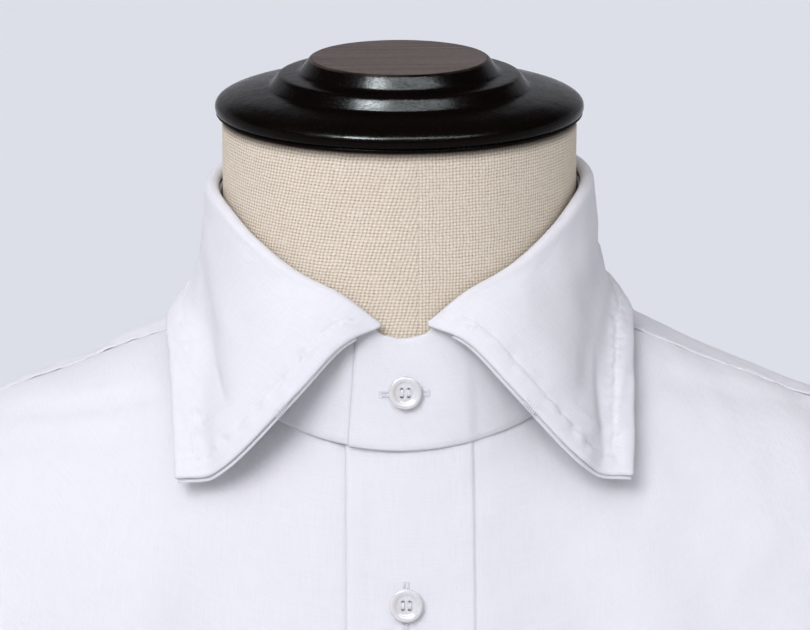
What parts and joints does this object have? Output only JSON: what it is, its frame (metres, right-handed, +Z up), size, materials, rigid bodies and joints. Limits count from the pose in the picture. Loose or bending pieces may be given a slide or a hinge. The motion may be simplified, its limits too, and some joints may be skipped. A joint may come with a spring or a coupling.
{
  "type": "dress shirt with a spread collar on a limbless dress form",
  "caption": "Long-sleeved dress shirt with a spread collar, buttoned at the neck, worn by a linen-covered limbless dress form with a black turned neck cap, pole and round base.",
  "frame": {"origin": "centre of the round base's underside", "axes": "+Z up, the shirt's front faces -Y, +X is to the right of someone who looks at the front"},
  "size_m": [0.5564, 0.34, 1.0191],
  "materials": {
    "white_cotton": "fine plain white cotton",
    "pearl_button": "pearly, smooth",
    "linen": "natural linen canvas, drawn tight",
    "black_lacquer": "turned wood in black lacquer"
  },
  "bodies": {
    "root": {"collar_leaf": "white_cotton", "under_collar": "white_cotton", "collar_stand": "white_cotton", "front_left": "white_cotton", "front_right": "white_cotton", "yoke": "white_cotton", "back": "white_cotton", "sleeve_left": "white_cotton", "sleeve_right": "white_cotton", "cuff_left": "white_cotton", "cuff_right": "white_cotton", "collar_button": "pearl_button", "front_button_1": "pearl_button", "front_button_2": "pearl_button", "front_button_3": "pearl_button", "front_button_4": "pearl_button", "front_button_5": "pearl_button", "front_button_6": "pearl_button", "front_button_7": "pearl_button", "cuff_button_left": "pearl_button", "cuff_button_right": "pearl_button", "form_torso": "linen", "neck_cap": "black_lacquer", "form_pole": "black_lacquer", "form_base": "black_lacquer"}
  },
  "joints": []
}
